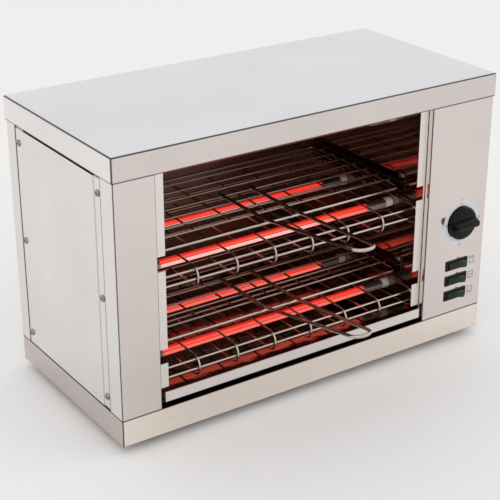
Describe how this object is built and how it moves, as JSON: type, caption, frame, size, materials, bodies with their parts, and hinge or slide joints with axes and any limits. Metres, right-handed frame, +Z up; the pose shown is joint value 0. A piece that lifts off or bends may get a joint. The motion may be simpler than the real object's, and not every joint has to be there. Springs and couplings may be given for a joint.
{
  "type": "commercial toaster",
  "caption": "Countertop bar toaster: sliding wire racks between quartz heating tubes in a folded steel case, with crumb tray, timer knob and rocker switches.",
  "frame": {"origin": "middle of the floor area under the whole part, racks and gland included, at the undersides of the feet", "axes": "+X to the right as seen from the front, +Y to the back, +Z up"},
  "size_m": [0.52, 0.3798, 0.346],
  "materials": {
    "casing_steel": "satin",
    "chamber_steel": "heat-tinted satin",
    "tray_steel": "satin",
    "wire_steel": "bright drawn wire",
    "quartz": "milky quartz",
    "heater_alloy": "glowing resistance wire",
    "ceramic": "unglazed steatite",
    "bus_steel": "plain strip",
    "zinc_steel": "bright zinc",
    "timer_case": "plain",
    "knob_plastic": "moulded",
    "switch_black": "moulded",
    "switch_lens": "dark translucent lens",
    "nylon": "moulded",
    "lead_insulation": "silicone glass sleeve",
    "foot_rubber": "matte"
  },
  "bodies": {
    "casing": {"back_reflector": "chamber_steel", "base_pan": "casing_steel", "bus_bars": "bus_steel", "cable_gland": "nylon", "casing_screws": "zinc_steel", "chamber_floor": "chamber_steel", "chamber_left_wall": "chamber_steel", "chamber_right_wall": "chamber_steel", "control_panel": "casing_steel", "earth_stud": "zinc_steel", "foot_screws": "zinc_steel", "front_left_column": "casing_steel", "guide_screws": "zinc_steel", "heat_shield": "chamber_steel", "heater_coil_1": "heater_alloy", "heater_coil_2": "heater_alloy", "heater_coil_3": "heater_alloy", "heater_coil_4": "heater_alloy", "heater_coil_5": "heater_alloy", "heater_coil_6": "heater_alloy", "internal_leads": "lead_insulation", "left_side_panel": "casing_steel", "lower_guard_bars": "wire_steel", "lower_guard_wires": "wire_steel", "lower_left_rack_guide": "chamber_steel", "lower_right_rack_guide": "chamber_steel", "lower_switch_housing": "switch_black", "middle_guard_bars": "wire_steel", "middle_guard_wires": "wire_steel", "middle_switch_housing": "switch_black", "quartz_tube_1": "quartz", "quartz_tube_2": "quartz", "quartz_tube_3": "quartz", "quartz_tube_4": "quartz", "quartz_tube_5": "quartz", "quartz_tube_6": "quartz", "rear_panel": "casing_steel", "right_side_panel": "casing_steel", "rubber_feet": "foot_rubber", "terminal_block": "nylon", "timer_body": "timer_case", "timer_nut": "zinc_steel", "top_cover": "casing_steel", "top_reflector": "chamber_steel", "tube_end_caps": "ceramic", "upper_left_rack_guide": "chamber_steel", "upper_right_rack_guide": "chamber_steel", "upper_switch_housing": "switch_black"},
    "upper_rack": {"upper_rack_frame": "wire_steel", "upper_rack_wires": "wire_steel", "upper_rack_handle": "wire_steel"},
    "lower_rack": {"lower_rack_frame": "wire_steel", "lower_rack_wires": "wire_steel", "lower_rack_handle": "wire_steel"},
    "tray": {"crumb_tray": "tray_steel"},
    "timer_dial": {"timer_knob": "knob_plastic", "timer_shaft": "zinc_steel"},
    "upper_rocker": {"upper_switch_rocker": "switch_lens"},
    "middle_rocker": {"middle_switch_rocker": "switch_lens"},
    "lower_rocker": {"lower_switch_rocker": "switch_lens"}
  },
  "joints": [
    {"name": "upper_rack_slide", "type": "slide", "parent": "casing", "child": "upper_rack", "axis": [0, -1, 0], "range_m": [0, 0.11]},
    {"name": "lower_rack_slide", "type": "slide", "parent": "casing", "child": "lower_rack", "axis": [0, -1, 0], "range_m": [0, 0.11]},
    {"name": "crumb_tray_slide", "type": "slide", "parent": "casing", "child": "tray", "axis": [0, -1, 0], "range_m": [0, 0.15]},
    {"name": "timer_turn", "type": "hinge", "parent": "casing", "child": "timer_dial", "pos_m": [0.2188, -0.0714, 0.1634], "axis": [0, 1, 0], "range_deg": [0, 300]},
    {"name": "upper_rocker_tilt", "type": "hinge", "parent": "casing", "child": "upper_rocker", "pos_m": [0.2165, -0.0671, 0.108], "axis": [0, 0, 1], "range_deg": [0, 22]},
    {"name": "middle_rocker_tilt", "type": "hinge", "parent": "casing", "child": "middle_rocker", "pos_m": [0.2165, -0.0671, 0.0875], "axis": [0, 0, 1], "range_deg": [0, 22]},
    {"name": "lower_rocker_tilt", "type": "hinge", "parent": "casing", "child": "lower_rocker", "pos_m": [0.2165, -0.0671, 0.067], "axis": [0, 0, 1], "range_deg": [0, 22]}
  ]
}
